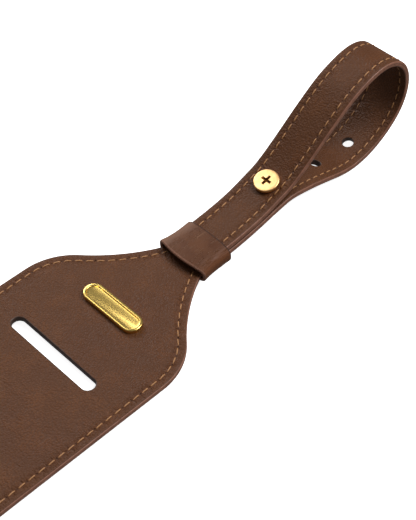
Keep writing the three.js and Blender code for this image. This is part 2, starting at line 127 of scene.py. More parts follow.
def lifted(x, offset):
    """Point and heading of the strap's gentle lift, offset upwards for the front strand."""
    if x <= 0:
        return x, MID_Z + offset, 0.0
    angle = math.asin(x / LIFT_R)
    radius = LIFT_R - offset
    return radius * math.sin(angle), LIFT_CENTRE_Z - radius * math.cos(angle), angle


def span(a, b, steps):
    """Smooth curve between two stations, without its end point."""
    (x0, z0, h0), (x1, z1, h1) = a, b
    pull = math.hypot(x1 - x0, z1 - z0) * (1 + (h1 - h0) ** 2 / 24)
    u = np.arange(steps) / steps
    start, start_pull = 2 * u**3 - 3 * u**2 + 1, u**3 - 2 * u**2 + u
    end, end_pull = 3 * u**2 - 2 * u**3, u**3 - u**2
    x = start * x0 + start_pull * pull * math.cos(h0) + end * x1 + end_pull * pull * math.cos(h1)
    z = start * z0 + start_pull * pull * math.sin(h0) + end * z1 + end_pull * pull * math.sin(h1)
    return np.stack([x, z], 1)


SPAN_STEPS = 24


def strap_path():
    """The leather's middle line from the panel's far end round the loop to the tip, as x and z points."""
    offset = 2 * LAYER + STRAND_GAP
    flat = [(x, MID_Z) for x in np.arange(PANEL_END, 0, 1.0)]
    lift = [lifted(x, 0)[:2] for x in np.arange(0, LIFT_END, 0.5)]
    end, together = lifted(LIFT_END, 0), lifted(TOGETHER_X, offset)
    stations = [end] + [(x, z, math.radians(h)) for x, z, h in LOOP_STATIONS]
    stations.append((together[0], together[1], math.pi + together[2]))
    loop = np.concatenate([span(a, b, SPAN_STEPS) for a, b in zip(stations, stations[1:])])
    back = [lifted(x, offset)[:2] for x in np.arange(TOGETHER_X, TIP_X, -0.5)]
    return np.concatenate([flat, lift, loop, back, [lifted(TIP_X, offset)[:2]]])


PATH = strap_path()
PATH_ALONG = PANEL_END + np.r_[0, np.cumsum(np.linalg.norm(np.diff(PATH, axis=0), axis=1))]
PATH_END = PATH_ALONG[-1]
PATH_HEADING = np.unwrap(np.arctan2(np.gradient(PATH[:, 1]), np.gradient(PATH[:, 0])))


def bent(points):
    """Bent places, in metres, of flat leather points: along, y and height over the glue line."""
    points = np.asarray(points, float).reshape(-1, 3)
    along, y, height = points.T
    x = np.interp(along, PATH_ALONG, PATH[:, 0])
    z = np.interp(along, PATH_ALONG, PATH[:, 1])
    heading = np.interp(along, PATH_ALONG, PATH_HEADING)
    shift_start, shift_end = LOOP_SHIFT_ENDS
    y = y + LOOP_SHIFT * np.clip((along - shift_start) / (shift_end - shift_start), 0, 1) ** 2
    past = np.clip(along - PATH_END, 0, None)
    x = x + past * np.cos(heading) - height * np.sin(heading)
    z = z + past * np.sin(heading) + height * np.cos(heading)
    return np.stack([x + LIFT_X, y, z], 1) * MM


def along_at(x):
    """Place along the strap at x, on the stretch from the panel to the far end of the loop."""
    outbound = PATH_ALONG < PATH_ALONG[np.argmax(PATH[:, 0])]
    return float(np.interp(x, PATH[outbound, 0], PATH_ALONG[outbound]))


def nearest_along(x, z):
    """Place along the leather nearest to the point x, z."""
    return float(PATH_ALONG[np.argmin(np.hypot(PATH[:, 0] - x, PATH[:, 1] - z))])


# ---- flat outline of the leather ----

def arc(cx, cy, radius, a0, a1, steps):
    """Points on an arc about cx, cy from angle a0 to angle a1."""
    angle = np.linspace(a0, a1, steps + 1)
    return [(cx + radius * math.cos(a), cy + radius * math.sin(a)) for a in angle]


def loop_share(x):
    """1 in the far half of the loop, falling to 0 towards both ends of the strap."""
    rise, fall = (np.clip((x - a) / (b - a), 0, 1) for a, b in LOOP_SPREAD_ENDS)
    return float((3 - 2 * rise) * rise**2 * (1 - (3 - 2 * fall) * fall**2))


OUTLINE_STEP = 0.9  # distance between outline points on straight stretches
CORNER_STEPS = 14
ROW_MARGIN = 0.3  # a straight stretch stops this far from the arc after it
TIP_SWEEP_END = math.radians(24)  # the last row across closes the tip from here


def half_outline(step):
    """Left-hand edge of the flat leather from its far end to its tip."""
    shoulder_drop = SHOULDER_R * (1 - math.cos(SHOULDER_ANGLE))
    neck_drop = NECK_R * (1 - math.cos(NECK_ANGLE))
    flare_drop = PANEL_HALF - STRAP_HALF - shoulder_drop - neck_drop
    flare_r = flare_drop / (math.cos(NECK_ANGLE) - math.cos(SHOULDER_ANGLE))
    neck_x = -NECK_R * math.sin(NECK_ANGLE)
    flare_x = neck_x + flare_r * math.sin(NECK_ANGLE)
    shoulder_x = flare_x - (flare_r + SHOULDER_R) * math.sin(SHOULDER_ANGLE)
    flare_y = STRAP_HALF + neck_drop + flare_r * math.cos(NECK_ANGLE)
    up = math.pi / 2
    corner_x, tip_x = PANEL_END + CORNER_R, PATH_END - STRAP_HALF
    shoulder_steps = int(SHOULDER_R * SHOULDER_ANGLE / step)
    flare_steps = int(flare_r * (SHOULDER_ANGLE - NECK_ANGLE) / step)
    neck_steps = int(NECK_R * NECK_ANGLE / step)
    strap_x = np.arange(step, tip_x - ROW_MARGIN, step)
    pieces = [
        arc(corner_x, PANEL_HALF - CORNER_R, CORNER_R, math.pi, up, CORNER_STEPS),
        [(x, PANEL_HALF) for x in np.arange(corner_x + step, shoulder_x - ROW_MARGIN, step)],
        arc(shoulder_x, PANEL_HALF - SHOULDER_R, SHOULDER_R, up, up - SHOULDER_ANGLE, shoulder_steps),
        arc(flare_x, flare_y, flare_r, -up - SHOULDER_ANGLE, -up - NECK_ANGLE, flare_steps)[1:],
        arc(0, STRAP_HALF + NECK_R, NECK_R, -up - NECK_ANGLE, -up, neck_steps)[1:],
        [(x, STRAP_HALF + LOOP_SPREAD * loop_share(x)) for x in strap_x],
        arc(tip_x, 0, STRAP_HALF, up, TIP_SWEEP_END, CORNER_STEPS),
    ]
    return np.array([point for piece in pieces for point in piece])


def flat_loop(step, across):
    """Closed outline of the flat leather, its outward directions, and the number of points on its left edge.

    It runs clockwise from the far left corner: left edge, tip, right edge, far end.
    """
    left = half_outline(step)
    share = np.arange(1, across) / across
    tip_y = left[-1, 1] * (1 - 2 * share)
    tip = np.stack([PATH_END - STRAP_HALF + np.sqrt(STRAP_HALF**2 - tip_y**2), tip_y], 1)
    end_y = left[0, 1] * (2 * share - 1)
    end = np.stack([np.full(across - 1, PANEL_END), end_y], 1)
    loop = np.concatenate([left, tip, left[::-1] * (1, -1), end])
    tangent = np.roll(loop, -1, 0) - np.roll(loop, 1, 0)
    tangent /= np.linalg.norm(tangent, axis=1)[:, None]
    return loop, np.stack([-tangent[:, 1], tangent[:, 0]], 1), len(left)


ACROSS = 28  # faces in each row across the leather
LOOP, OUTWARD, LEFT_COUNT = flat_loop(OUTLINE_STEP, ACROSS)


def seam_lengths(inset):
    """Distance round the seam at each outline point, with the full length at the end."""
    seam = LOOP - OUTWARD * inset
    steps = np.linalg.norm(np.roll(seam, -1, 0) - seam, axis=1)
    return np.r_[0, np.cumsum(steps)]


SEAM = seam_lengths(STITCH_MARGIN)
STITCHES = int(round(SEAM[-1] / STITCH_PITCH))
PITCH = SEAM[-1] / STITCHES


# ---- mesh helpers ----

def new_object(name, verts, faces, materials, smooth_angle=40):
    """Mesh object, shaded smooth apart from edges sharper than the angle in degrees."""
    mesh = bpy.data.meshes.new(name)
    mesh.from_pydata([tuple(v) for v in verts], [], [tuple(f) for f in faces])
    for material in materials:
        mesh.materials.append(material)
    obj = bpy.data.objects.new(name, mesh)
    bpy.context.scene.collection.objects.link(obj)
    smooth(mesh, smooth_angle)
    return obj


def smooth(mesh, angle):
    mesh.shade_smooth()
    mesh.set_sharp_from_angle(angle=math.radians(angle))


def outward_faces(mesh, join=None):
    """Point every face out of the closed mesh, after joining points that are nearer than join, if given."""
    work = bmesh.new()
    work.from_mesh(mesh)
    if join:
        bmesh.ops.remove_doubles(work, verts=work.verts, dist=join)
    bmesh.ops.recalc_face_normals(work, faces=work.faces)
    work.to_mesh(mesh)
    work.free()


def skin(ring_count, count, closed=False):
    """Faces between neighbouring rings of count points each; closed also joins the last ring to the first."""
    faces = []
    for k in range(ring_count if closed else ring_count - 1):
        here, there = k * count, (k + 1) % ring_count * count
        for j in range(count):
            i = (j + 1) % count
            faces.append((here + j, here + i, there + i, there + j))
    return faces


def lofted(rings, capped=True):
    """Vertices and faces of a skin over equal rings of points."""
    count = len(rings[0])
    verts = [point for ring in rings for point in ring]
    faces = skin(len(rings), count)
    if capped:
        faces.append(tuple(range(count))[::-1])
        faces.append(tuple(range(len(verts) - count, len(verts))))
    return verts, faces


def evaluated_mesh(obj):
    """The object's mesh with its modifiers applied."""
    bpy.context.view_layer.update()
    return bpy.data.meshes.new_from_object(obj.evaluated_get(bpy.context.evaluated_depsgraph_get()))


def cut(obj, cutters):
    """Cut the cutters out of the object. The cutters go away, and leave their material on the cut faces."""
    for cutter in cutters:
        modifier = obj.modifiers.new("cut", "BOOLEAN")
        modifier.object = cutter
        modifier.solver = "EXACT"
        modifier.material_mode = "TRANSFER"
    result = evaluated_mesh(obj)
    obj.modifiers.clear()
    for cutter in cutters:
        bpy.data.objects.remove(cutter)
    obj.data = result


# ---- materials ----

class Nodes:
    """Short way to build a material: each call adds a node and links or sets its inputs."""

    def __init__(self, name):
        self.material = bpy.data.materials.new(name)
        self.material.use_nodes = True
        self.tree = self.material.node_tree
        self.shader = self.tree.nodes["Principled BSDF"]

    def add(self, kind, output=0, settings=None, **inputs):
        """Add a shader node. Its inputs go by name, or by number as i0, i1 and i2."""
        node = self.tree.nodes.new("ShaderNode" + kind)
        for key, value in (settings or {}).items():
            setattr(node, key, value)
        for key, value in inputs.items():
            numbered = key[0] == "i" and key[1:].isdigit()
            self.put(node.inputs[int(key[1:]) if numbered else key], value)
        return node.outputs[output]

    def put(self, socket, value):
        if isinstance(value, bpy.types.NodeSocket):
            self.tree.links.new(value, socket)
        else:
            socket.default_value = value

    def math(self, operation, a, b=0.0, c=0.0):
        return self.add("Math", settings={"operation": operation}, i0=a, i1=b, i2=c)

    def ramp(self, value, low, high, to_low=0.0, to_high=1.0):
        """Smooth step from to_low at low to to_high at high."""
        return self.add("MapRange", settings={"interpolation_type": "SMOOTHSTEP"}, Value=value, **{
            "From Min": low, "From Max": high, "To Min": to_low, "To Max": to_high})

    def mix(self, share, a, b):
        """Colour a, turning to colour b as the share rises to 1."""
        node = self.tree.nodes.new("ShaderNodeMix")
        node.data_type = "RGBA"
        self.put(node.inputs[0], share)
        self.put(node.inputs[6], a)
        self.put(node.inputs[7], b)
        return node.outputs[2]

    def noise(self, vector, scale, detail=3.0, roughness=0.5, distortion=0.0):
        return self.add("TexNoise", Vector=vector, Scale=scale, Detail=detail, Roughness=roughness,
                        Distortion=distortion)

    def bump(self, height, strength, distance, normal=None):
        """Normal for a height from 0 to 1 that stands for the distance in metres."""
        under = {} if normal is None else {"Normal": normal}
        return self.add("Bump", Height=height, Strength=strength, Distance=distance, **under)

    def scaled(self, vector, scale):
        return self.add("VectorMath", settings={"operation": "SCALE"}, i0=vector, Scale=scale)

    def stretched(self, vector, factors):
        return self.add("VectorMath", settings={"operation": "MULTIPLY"}, i0=vector, i1=factors)

    def split(self, vector):
        """The first two parts of a vector."""
        return self.add("SeparateXYZ", i0=vector).node.outputs[:2]

    def uv(self, layer):
        return self.add("UVMap", settings={"uv_map": layer})

    def flat_place(self, layer):
        """Coordinates from a UV layer, in millimetres."""
        return self.scaled(self.uv(layer), UV_UNIT)

    def place(self):
        """The object's own coordinates, in millimetres."""
        return self.scaled(self.add("TexCoord", output=3), 1 / MM)

    def surface(self, **inputs):
        """Set the shader's inputs and give back the finished material."""
        for key, value in inputs.items():
            self.put(self.shader.inputs[key.replace("_", " ")], value)
        return self.material


def rgb(r, g, b):
    """Scene colour for a screen colour of 0 to 255."""
    def linear(c):
        c /= 255
        return c / 12.92 if c <= 0.04045 else ((c + 0.055) / 1.055) ** 2.4
    return (linear(r), linear(g), linear(b), 1.0)


# Leather: cells of the grain in millimetres, and depths of the bumps in metres. A reach is two distances in
# millimetres from the seam's line, the stitch hole or the edge: a mark is full at one and gone at the other.
GRAIN_CELL = 0.62
GRAIN_DEPTH = 0.00027
PULL_DEPTH = 0.0004
HOLE_DEPTH = 0.0003
SEAM_SHADE_REACH = (0.35, 1.3)
PULL_REACH = (0.4, 2.6)
HOLE_REACH = (0.12, 0.42)
BURNISH_REACH = (0.2, 1.1)


def leather_grain(n, place, cell, soft):
    """Height of a pebble grain with cells of the given size, fine pores, and a soft slow swell."""
    warp = n.noise(place, 0.35, 2.0)
    warped = n.add("VectorMath", settings={"operation": "MULTIPLY_ADD"}, i0=warp, i1=(0.8,) * 3, i2=place)
    pebble = n.add("TexVoronoi", settings={"feature": "SMOOTH_F1"}, Vector=warped, Scale=1 / cell,
                   Smoothness=0.6)
    pores = n.noise(place, 2.2 / cell, 3.0, 0.6)
    swell = n.noise(place, 0.12, 3.0, 0.5)
    height = n.math("MULTIPLY_ADD", pebble, -1.0, 1.0)
    height = n.math("MULTIPLY_ADD", pores, 0.5, height)
    return n.math("MULTIPLY_ADD", swell, soft, height)


def seam_marks(n, color, dark, normal):
    """Colour and normal with painted shade along the seam and in the stitch holes, pulled creases and
    burnished edge added.
    """
    along, inward = n.split(n.flat_place(SEAM_UV))
    offset = n.math("ABSOLUTE", n.math("SUBTRACT", inward, STITCH_MARGIN))
    phase = n.math("FRACT", n.math("DIVIDE", along, PITCH))
    to_hole = n.math("MULTIPLY", n.math("MINIMUM", phase, n.math("SUBTRACT", 1.0, phase)), PITCH)
    squares = n.math("ADD", n.math("MULTIPLY", to_hole, to_hole), n.math("MULTIPLY", offset, offset))
    hole = n.ramp(n.math("SQRT", squares), *HOLE_REACH, 1.0, 0.0)
    wrinkled = n.add("CombineXYZ", X=n.math("MULTIPLY", along, 0.9), Y=n.math("MULTIPLY", inward, 0.35))
    creases = n.ramp(n.noise(wrinkled, 1.0, 4.0, 0.6), 0.45, 0.7)
    pulled = n.math("MULTIPLY", creases, n.ramp(offset, *PULL_REACH, 1.0, 0.0))
    # painted shade along the seam's groove, where the stitches pull the leather down
    color = n.mix(n.ramp(offset, *SEAM_SHADE_REACH, 0.25, 0.0), color, dark)
    # painted shade in the stitch holes: the leather turns dark brown there
    color = n.mix(n.math("MULTIPLY", hole, 0.35), color, rgb(34, 21, 13))
    color = n.mix(n.ramp(inward, *BURNISH_REACH, 0.3, 0.0), color, rgb(92, 62, 48))
    normal = n.bump(pulled, 0.7, PULL_DEPTH, normal)
    return color, n.bump(hole, 0.6, -HOLE_DEPTH, normal)


def leather(name, base, dark, light, seams=True, bump=0.9):
    """Grained leather with patches of a dark and a light tone; seams adds the marks of the stitching."""
    n = Nodes(name)
    flat = n.flat_place(FLAT)
    grain = leather_grain(n, flat, GRAIN_CELL, 1.2)
    patches = n.noise(flat, 0.035, 3.0, 0.5, 0.2)
    speck = n.noise(flat, 1.6, 3.0, 0.6)
    tone = n.mix(n.ramp(patches, 0.25, 0.75), dark, light)
    color = n.mix(n.ramp(speck, 0.35, 0.7, 0.0, 0.5), tone, base)
    color = n.mix(n.ramp(grain, 1.2, 2.0, 0.6, 0.0), color, rgb(70, 42, 25))
    normal = n.bump(grain, bump, GRAIN_DEPTH)
    if seams:
        color, normal = seam_marks(n, color, dark, normal)
    rough = n.ramp(patches, 0.3, 0.7, 0.41, 0.54)
    return n.surface(Base_Color=color, Roughness=rough, Normal=normal, Specular_IOR_Level=0.2)


def edge_paint(name, color, dark):
    """Smooth painted leather edge with slight waviness and wear."""
    n = Nodes(name)
    place = n.place()
    wear = n.noise(place, 0.5, 4.0, 0.6)
    streak = n.noise(n.stretched(place, (0.5, 0.5, 4.0)), 0.7, 3.0)
    tone = n.mix(n.ramp(wear, 0.35, 0.7), color, dark)
    tone = n.mix(n.ramp(streak, 0.5, 0.8, 0.0, 0.4), tone, dark)
    normal = n.bump(n.math("ADD", wear, streak), 0.3, 0.00015)
    return n.surface(Base_Color=tone, Roughness=n.ramp(wear, 0.3, 0.7, 0.38, 0.5), Normal=normal)


def thread_material(name):
    """Waxed, twisted thread. Its UV runs from 0 to 1 along each stitch and round it."""
    n = Nodes(name)
    along, around = n.split(n.uv(SEAM_UV))
    twist = n.math("ADD", n.math("MULTIPLY", along, 3.0), n.math("MULTIPLY", around, 2.0))
    ply = n.math("ABSOLUTE", n.math("SINE", n.math("MULTIPLY", twist, math.pi)))
    fuzz = n.noise(n.place(), 6.0, 2.0, 0.6)
    # painted shade: the thread is darker in the grooves between its plies
    tone = n.mix(n.ramp(ply, 0.0, 0.5), rgb(128, 82, 42), rgb(172, 120, 70))
    tone = n.mix(n.ramp(fuzz, 0.4, 0.8, 0.0, 0.3), tone, rgb(184, 138, 90))
    normal = n.bump(ply, 0.7, 0.00008)
    return n.surface(Base_Color=tone, Roughness=0.55, Normal=normal, Sheen_Weight=0.15, Sheen_Roughness=0.5)


def metal(name, color, deep, roughness, brushed=0.0):
    """Plated metal with faint smears in its gloss, and a fine unevenness where it is brushed."""
    n = Nodes(name)
    place = n.place()
    smear = n.noise(place, 0.7, 4.0, 0.6)
    fine = n.noise(place, 2.5, 2.0, 0.5)
    tone = n.mix(n.ramp(smear, 0.3, 0.75), color, deep)
    gloss = n.ramp(smear, 0.3, 0.7, roughness, roughness * 1.1)
    rough = n.math("ADD", gloss, n.math("MULTIPLY", fine, brushed))
    normal = n.bump(fine, 0.1, 0.000001 + 0.0001 * brushed)
    return n.surface(Base_Color=tone, Metallic=1.0, Roughness=rough, Normal=normal)


def board_material():
    """Grey-brown board with fibres that run along the panel."""
    n = Nodes("fibre_board")
    fibres = n.noise(n.stretched(n.place(), (0.6, 3.0, 3.0)), 1.5, 4.0, 0.6)
    tone = n.mix(fibres, rgb(120, 105, 88), rgb(175, 160, 138))
    return n.surface(Base_Color=tone, Roughness=0.9, Normal=n.bump(fibres, 0.4, 0.0001))


CARD_RULE = 7.0  # from one ruled line to the next
CARD_RULE_SHIFT = 100.0  # puts the lines in their places across the card
CARD_RULED_HALF = 17.5


def card_material():
    """Off-white card with faint ruled lines for an address."""
    n = Nodes("address_card")
    across = n.split(n.place())[1]
    rules = n.math("DIVIDE", n.math("ADD", across, CARD_RULE_SHIFT), CARD_RULE)
    off_rule = n.math("ABSOLUTE", n.math("SUBTRACT", n.math("FRACT", rules), 0.5))
    ruled = n.ramp(n.math("ABSOLUTE", across), CARD_RULED_HALF - 0.1, CARD_RULED_HALF + 0.1, 1.0, 0.0)
    line = n.math("MULTIPLY", n.ramp(off_rule, 0.012, 0.03, 1.0, 0.0), ruled)
    fibres = n.noise(n.place(), 3.0, 4.0, 0.6)
    paper = n.mix(fibres, rgb(236, 231, 218), rgb(246, 243, 234))
    tone = n.mix(line, paper, rgb(120, 128, 140))
    return n.surface(Base_Color=tone, Roughness=0.7, Normal=n.bump(fibres, 0.2, 0.00003))


def film_material():
    """Clear window film with a slight haze and scuffs that run along it."""
    n = Nodes("window_film")
    place = n.place()
    haze = n.noise(place, 0.12, 3.0, 0.5)
    scuffs = n.noise(n.stretched(place, (0.2, 2.0, 1.0)), 1.2, 3.0)
    tone = n.mix(haze, rgb(238, 243, 244), rgb(250, 252, 252))
    rough = n.ramp(scuffs, 0.4, 0.8, 0.06, 0.16)
    cover = n.ramp(haze, 0.3, 0.7, 0.14, 0.2)
    normal = n.bump(haze, 0.3, 0.0004)
    return n.surface(Base_Color=tone, Roughness=rough, Alpha=cover, Normal=normal, IOR=1.45)


LEATHER = leather("brown_leather", rgb(98, 57, 28), rgb(91, 52, 25), rgb(103, 62, 32))
BACK_LEATHER = leather("brown_back_leather", rgb(97, 57, 27), rgb(86, 48, 22), rgb(102, 61, 30), bump=0.6)
EDGE = edge_paint("edge_paint", rgb(146, 98, 76), rgb(122, 80, 60))
# painted shade: the walls and rounded mouths of the slot and holes are dark brown
OPENING_WALL_SHADE = edge_paint("opening_wall_shade", rgb(70, 45, 32), rgb(46, 29, 20))
THREAD = thread_material("tan_thread")


# ---- leather ----

# Profile of one layer: distance in from the outline, height over the glue line, share of the seam's pull
PROFILE = [
    (0.12, 0.015, 0), (0.02, 0.03, 0), (0.0, 0.08, 0), (0.0, 0.5, 0), (0.035, 0.72, 0), (0.12, 0.87, 0),
    (0.25, 0.965, 0), (0.45, 1.02, 0), (0.75, 1.045, 0), (1.2, 1.05, 0.1), (1.7, 1.04, 0.3),
    (2.15, 1.01, 0.6), (2.5, SEAM_HEIGHT, 1), (2.9, SEAM_HEIGHT, 1), (3.25, 1.01, 0.6), (3.7, 1.04, 0.3),
    (4.3, 1.05, 0),
]
PAINTED_RINGS = 6  # rings up to this one carry edge paint
PUCKER = 0.07  # the stitches pull the seam down this much more at their holes
SWELL = 0.05  # size of the hide's slow unevenness
SWELL_FROM = 0.4  # the hide's unevenness starts this far in from the edge
FAR_FROM_SEAM = (0.0, 0.09)  # UV of the middle of the leather, past every mark of the seam
NECK_BEND = (-14.0, -4.6)  # two places along the leather near the neck; across_neck works out their bent positions but bends nothing


def ripple(along, y):
    """Slow unevenness of the hide, from about -1 to 1."""
    broad = noise.noise(Vector((along / 17, y / 13, 0.3)))
    return broad + 0.5 * noise.noise(Vector((along / 7, y / 6, 5.1)))


def flat_layer(name, side, material):
    """One leather layer lying flat, in millimetres: side 1 is the front, -1 the back."""
    count = len(LOOP)
    last = LEFT_COUNT - 1
    verts, uvs = [], []
    dip = 0.5 + 0.5 * np.cos(2 * math.pi * SEAM[:-1] / PITCH)
    for inset, height, pull in PROFILE:
        for (along, y), share in zip(LOOP - OUTWARD * inset, dip):
            swell = SWELL * ripple(along, y) if inset > SWELL_FROM else 0.0
            verts.append((along, y, side * (height - PUCKER * pull * share + swell)))
    faces = skin(len(PROFILE), count)
    round_seam = SEAM / UV_UNIT
    for (inset, *_), (next_inset, *_) in zip(PROFILE, PROFILE[1:]):
        a, b = inset / UV_UNIT, next_inset / UV_UNIT
        for c, d in zip(round_seam, round_seam[1:]):
            uvs.append(((c, a), (d, a), (d, b), (c, b)))

    def ring_index(ring, row, column):
        """Index of the ring's point at the end of a row or column."""
        if column == 0:
            j = row
        elif row == last:
            j = last + column
        elif column == ACROSS:
            j = last + ACROSS + (last - row)
        else:
            j = 2 * last + 2 * ACROSS - column
        return ring * count + j % count

    def close(ring, swollen):
        """Fill inside a ring with rows that run straight across the leather."""
        inset, height = PROFILE[ring][:2]
        index = {}
        for row in range(last + 1):
            left = LOOP[row] - OUTWARD[row] * inset
            for column in range(ACROSS + 1):
                if row in (0, last) or column in (0, ACROSS):
                    index[row, column] = ring_index(ring, row, column)
                    continue
                y = left[1] * (1 - 2 * column / ACROSS)
                swell = SWELL * ripple(left[0], y) if swollen else 0.0
                index[row, column] = len(verts)
                verts.append((left[0], y, side * (height + swell)))
        for row in range(last):
            for column in range(ACROSS):
                corners = ((row, column), (row + 1, column), (row + 1, column + 1), (row, column + 1))
                faces.append(tuple(index[corner] for corner in corners))
                uvs.append((FAR_FROM_SEAM,) * 4)

    close(0, swollen=False)
    close(len(PROFILE) - 1, swollen=True)
    obj = new_object(name, verts, faces, [material, EDGE])
    mesh = obj.data
    corner_verts = np.array([i for face in faces for i in face])
    corners_flat = np.array(verts)[corner_verts][:, :2] / UV_UNIT
    mesh.uv_layers.new(name=FLAT).data.foreach_set("uv", corners_flat.ravel())
    mesh.uv_layers.new(name=SEAM_UV).data.foreach_set("uv", np.array(uvs).ravel())
    painted = np.arange(len(faces)) < PAINTED_RINGS * count
    mesh.polygons.foreach_set("material_index", painted.astype(int))
    outward_faces(mesh)
    return obj


# Mouth of an opening: how far it flares, and at what height over the glue line
MOUTH_PROFILE = [(0.0, -3.0), (0.0, 0.55), (0.03, 0.75), (0.12, 0.9), (0.28, 1.0), (0.55, 1.06), (0.6, 3.0)]
SLOT_SOFTNESS = 0.7
HOLE_SOFTNESS = 0.4


def stadium(x, half_x, half_y, z, count):
    """Ring of points at height z round a shape with round ends and straight sides that run across the tag."""
    ring = []
    for j in range(count):
        angle = 2 * math.pi * (j + 0.5) / count
        y = half_x * math.sin(angle)
        ring.append((x + half_x * math.cos(angle), y + math.copysign(half_y - half_x, y), z))
    return ring


def opening_cutter(place, half_x, half_y, side, softness):
    """Upright cutter with a rounded mouth: a round hole, or a slot where half_y is more than half_x."""
    verts, faces = lofted([
        stadium(place, half_x + flare * softness, half_y + flare * softness, side * height, 36)
        for flare, height in MOUTH_PROFILE])
    obj = new_object("cutter", verts, faces, [OPENING_WALL_SHADE])
    obj.data.uv_layers.new(name=FLAT)
    obj.data.uv_layers.new(name=SEAM_UV)
    outward_faces(obj.data)
    return obj


def across_neck(obj):
    """Bake the object's transform; the bent places at NECK_BEND are worked out but not used."""
    start, end = bent([(place, 0, 0) for place in NECK_BEND])
    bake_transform(obj)


def leather_layer(name, side, material, stands_for):
    """One leather layer of the panel and the strap in its final shape, with its slot and holes."""
    obj = flat_layer(name, side, material)
    holes = [(along_at(x), ADJUSTING_HOLE_R) for x in ADJUSTING_HOLES_X]
    holes += [(nearest_along(*point), SCREW_HOLE_R) for point in (SCREW_BACK, SCREW_FRONT)]
    cutters = [opening_cutter(SLOT_X, SLOT_WIDTH / 2, SLOT_LENGTH / 2, side, SLOT_SOFTNESS)]
    cutters += [opening_cutter(place, radius, radius, side, HOLE_SOFTNESS) for place, radius in holes]
    cut(obj, cutters)
    mesh = obj.data
    flat = np.empty(len(mesh.vertices) * 3)
    mesh.vertices.foreach_get("co", flat)
    mesh.vertices.foreach_set("co", bent(flat).ravel())
    smooth(mesh, 38)
    mesh.update()
    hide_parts(*stands_for)
    across_neck(obj)


# ---- stitches ----

STITCH_SHARE = 0.8  # share of the pitch that a stitch covers
STITCH_OVERRUN = 0.04  # share of its length that dives past each end
STITCH_SLANT = 0.16
STITCH_SUNK = 0.3  # its ends lie this deep in the holes
STITCH_RISE = 0.34  # its middle lies this much higher than its ends
STITCH_FLATNESS = 2.6
STITCH_END_SHARE = 0.72  # thickness of its ends as a share of the middle's
THREAD_PRESSED = 0.85  # height of its section as a share of the width
STITCH_SIDES = 8
STITCH_STEPS = 8


def stitch_rings(line, u0, u1, height, side):
    """Rings of points round one stitch that runs from u0 to u1 on the line."""
    start, end = line(u0), line(u1)
    forward = np.array((end[0] - start[0], end[1] - start[1], 0.0))
    forward /= np.linalg.norm(forward)
    across = np.array((-forward[1], forward[0], 0.0))
    up = np.array((0, 0, side))
    rings = []
    for t in np.linspace(-STITCH_OVERRUN, 1 + STITCH_OVERRUN, STITCH_STEPS + 1):
        x, y = line(u0 + (u1 - u0) * t)
        rise = 1 - abs(2 * t - 1) ** STITCH_FLATNESS
        centre = np.array((x, y, 0.0)) + across * STITCH_SLANT * (t - 0.5) * side
        centre[2] = height + side * (STITCH_RISE * rise - STITCH_SUNK)
        fullness = min(1.0, 4 * t + 0.2, 4 * (1 - t) + 0.2)
        radius = THREAD_R * (STITCH_END_SHARE + (1 - STITCH_END_SHARE) * fullness)
        rings.append([centre + radius * (math.cos(a) * across + THREAD_PRESSED * math.sin(a) * up)
                      for a in np.linspace(0, 2 * math.pi, STITCH_SIDES, endpoint=False)])
    return rings


def stitch_row(name, line, count, pitch, height, mapping):
    """Row of single stitches on a flat line, where line(u) gives the place at distance u.

    The height's sign says which side the stitches are on. The mapping takes the flat points to their places
    in metres.
    """
    side = math.copysign(1.0, height)
    verts, faces, uvs, stitch_uvs = [], [], [], []
    for ring in range(STITCH_STEPS):
        v0, v1 = ring / STITCH_STEPS, (ring + 1) / STITCH_STEPS
        for j in range(STITCH_SIDES):
            w0, w1 = j / STITCH_SIDES, (j + 1) / STITCH_SIDES
            stitch_uvs += [(v0, w0), (v0, w1), (v1, w1), (v1, w0)]
    stitch_uvs += [(0, 0)] * STITCH_SIDES + [(1, 0)] * STITCH_SIDES
    for k in range(count):
        u0 = (k + (1 - STITCH_SHARE) / 2) * pitch
        u1 = (k + (1 + STITCH_SHARE) / 2) * pitch
        ring_verts, ring_faces = lofted(stitch_rings(line, u0, u1, height, side))
        base = len(verts)
        verts += ring_verts
        faces += [tuple(i + base for i in face) for face in ring_faces]
        uvs += stitch_uvs
    obj = new_object(name, mapping(verts), faces, [THREAD], 60)
    obj.data.uv_layers.new(name=SEAM_UV).data.foreach_set("uv", np.array(uvs, float).ravel())
    outward_faces(obj.data)
    return obj


def leather_stitches(name, side, stands_for):
    """Stitches all round the panel and strap on one side."""
    seam = LOOP - OUTWARD * STITCH_MARGIN
    seam = np.concatenate([seam, seam[:1]])

    def line(u):
        u = u % SEAM[-1]
        return np.interp(u, SEAM, seam[:, 0]), np.interp(u, SEAM, seam[:, 1])

    obj = stitch_row(name, line, STITCHES, PITCH, side * SEAM_HEIGHT, bent)
    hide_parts(*stands_for)
    across_neck(obj)


leather_layer("front_leather", 1, LEATHER, ["panel_front_leather", "strap_inner_leather"])
leather_layer("back_leather", -1, BACK_LEATHER, ["panel_back_leather", "strap_outer_leather"])
leather_stitches("front_stitches", 1, ["panel_front_thread", "strap_inner_thread"])
leather_stitches("back_stitches", -1, ["panel_back_thread", "strap_outer_thread"])


# ---- keeper ----

